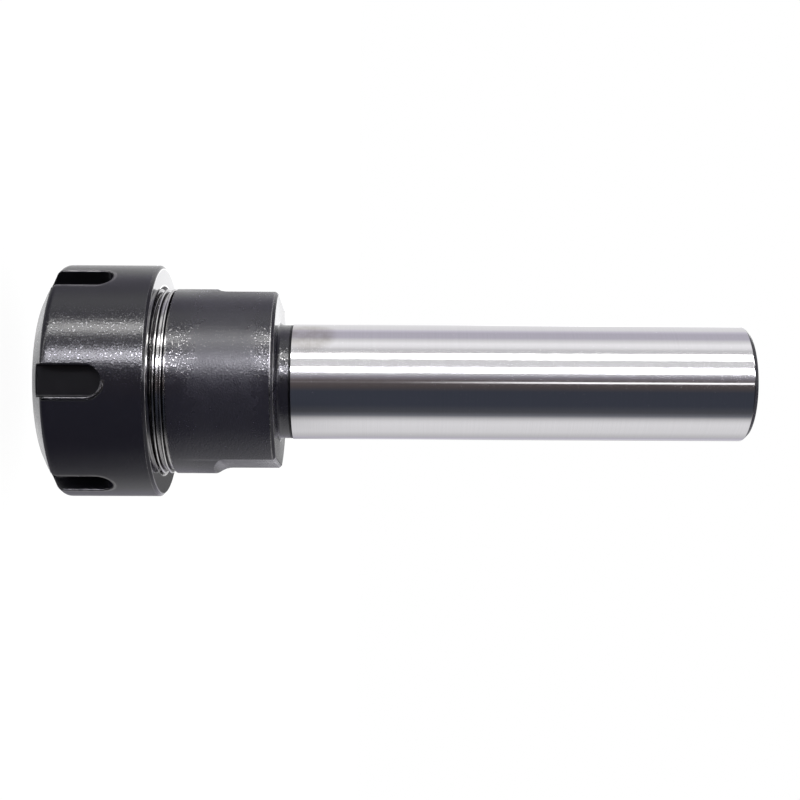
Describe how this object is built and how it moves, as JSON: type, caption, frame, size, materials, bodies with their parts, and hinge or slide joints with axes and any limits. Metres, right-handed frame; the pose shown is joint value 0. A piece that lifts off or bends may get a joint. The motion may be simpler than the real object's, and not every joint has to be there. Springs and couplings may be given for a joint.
{
  "type": "collet chuck holder",
  "caption": "Straight-shank collet chuck: a slotted clamping nut draws a slit spring collet into a tapered seat, so that it grips the shank of a round cutting tool.",
  "frame": {"origin": "centre of the clamping nut's flat front face, on which the chuck stands", "axes": "+Z along the chuck's axis from the nut to the end of the shank; -Y through the middle of one nut slot"},
  "size_m": [0.05, 0.05, 0.1502],
  "materials": {
    "body_steel": "ground shank, black oxide on collar, neck and nose",
    "black_steel": "turned, black oxide",
    "collet_steel": "fine ground"
  },
  "bodies": {
    "chuck": {"chuck_body": "body_steel"},
    "collet": {"collet": "collet_steel"},
    "nut": {"clamping_nut": "black_steel"}
  },
  "joints": [
    {"name": "collet_slide", "type": "slide", "parent": "chuck", "child": "collet", "axis": [0, 0, -1], "range_m": [0, 0.0121]},
    {"name": "nut_turn", "type": "hinge", "parent": "collet", "child": "nut", "pos_m": [0, 0, 0], "axis": [0, 0, -1], "range_deg": [0, 2880]}
  ],
  "couplings": [
    {"joint": "collet_slide", "follows": "nut_turn", "m_per_rad": 0.00023873}
  ]
}
